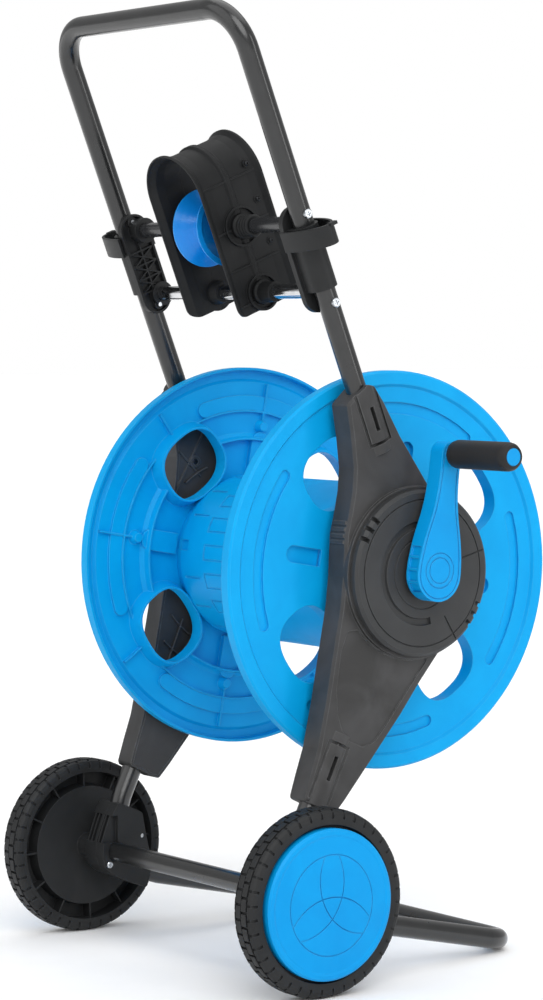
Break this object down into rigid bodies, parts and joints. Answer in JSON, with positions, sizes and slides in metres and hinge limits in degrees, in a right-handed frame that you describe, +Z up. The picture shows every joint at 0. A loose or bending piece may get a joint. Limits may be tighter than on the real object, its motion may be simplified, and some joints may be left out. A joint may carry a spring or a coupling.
{
  "type": "garden hose reel cart",
  "caption": "Two-wheeled tubular cart carrying a cranked hose reel between side panels, with a sliding roller hose guide, a leaning loop handle and a foot frame.",
  "frame": {"origin": "centre of the footprint rectangle at ground level", "axes": "+Z up, +X across towards the crank side, +Y towards the end the foot frame reaches to; the handle leans to -Y"},
  "size_m": [0.5132, 0.4202, 0.9138],
  "materials": {
    "tube_paint": "semi-gloss dark grey powder coat",
    "rod_paint": "satin dark grey",
    "rod_chrome": "bright plated",
    "zinc_steel": "bright zinc plated",
    "black_screw": "blackened steel",
    "frame_black": "moulded satin black",
    "panel_black": "moulded fine-grained satin black",
    "hub_black": "moulded satin black",
    "fitting_black": "moulded satin black",
    "seal_rubber": "matt",
    "bracket_black": "moulded satin black",
    "shaft_black": "moulded satin black",
    "guide_black": "moulded satin black",
    "grip_black": "soft satin black",
    "wheel_black": "moulded dull black",
    "reel_blue": "moulded satin blue",
    "crank_blue": "moulded satin blue",
    "roller_blue": "moulded glossy blue",
    "hubcap_blue": "moulded satin blue"
  },
  "bodies": {
    "frame": {"handle_tube": "tube_paint", "foot_tube": "tube_paint", "axle_sleeve": "tube_paint", "axle_rod": "zinc_steel", "axle_clamp_inner_left": "frame_black", "axle_clamp_inner_right": "frame_black", "axle_clamp_outer_left": "frame_black", "axle_clamp_outer_right": "frame_black", "clamp_screws": "zinc_steel", "axle_nuts": "zinc_steel", "side_panel_left": "panel_black", "side_panel_right": "panel_black", "panel_cover_left": "panel_black", "panel_cover_right": "panel_black", "panel_screws": "black_screw", "hub_cover_left": "hub_black", "hub_cover_right": "hub_black", "hub_screws": "zinc_steel", "water_inlet": "fitting_black", "inlet_lock": "fitting_black", "inlet_seal": "seal_rubber", "handle_bracket_left": "bracket_black", "handle_bracket_right": "bracket_black", "bracket_screws": "zinc_steel", "guide_rod_upper": "rod_paint", "guide_rod_lower": "rod_chrome"},
    "wheel_left": {"wheel_left": "wheel_black", "hubcap_left": "hubcap_blue"},
    "wheel_right": {"wheel_right": "wheel_black", "hubcap_right": "hubcap_blue"},
    "reel": {"reel_flange_left": "reel_blue", "reel_flange_right": "reel_blue", "drum_core_left": "reel_blue", "drum_core_right": "reel_blue", "reel_screws": "zinc_steel", "reel_shaft_left": "shaft_black", "reel_shaft_right": "shaft_black", "water_outlet": "fitting_black", "crank_arm": "crank_blue", "crank_screw": "zinc_steel", "crank_pin": "zinc_steel"},
    "grip": {"crank_grip": "grip_black", "grip_cap": "crank_blue"},
    "guide": {"guide_shell_front": "guide_black", "guide_shell_rear": "guide_black", "guide_screws": "black_screw", "bush_upper_left": "guide_black", "bush_upper_right": "guide_black", "bush_lower_left": "guide_black", "bush_lower_right": "guide_black"},
    "roller": {"guide_roller": "roller_blue"}
  },
  "joints": [
    {"name": "reel_spin", "type": "hinge", "parent": "frame", "child": "reel", "pos_m": [-0.03345, 0.01945, 0.3812], "axis": [1, 0, 0], "continuous": true},
    {"name": "grip_spin", "type": "hinge", "parent": "reel", "child": "grip", "pos_m": [0.21355, 0.03405, 0.4944], "axis": [1, 0, 0], "continuous": true},
    {"name": "wheel_left_spin", "type": "hinge", "parent": "frame", "child": "wheel_left", "pos_m": [-0.23495, -0.12265, 0.0875], "axis": [1, 0, 0], "continuous": true},
    {"name": "wheel_right_spin", "type": "hinge", "parent": "frame", "child": "wheel_right", "pos_m": [0.16805, -0.12265, 0.0875], "axis": [1, 0, 0], "continuous": true},
    {"name": "guide_slide", "type": "slide", "parent": "frame", "child": "guide", "axis": [1, 0, 0], "range_m": [-0.0625, 0.0625]},
    {"name": "roller_spin", "type": "hinge", "parent": "guide", "child": "roller", "pos_m": [-0.03345, -0.09438, 0.70897], "axis": [1, 0, 0], "continuous": true}
  ]
}
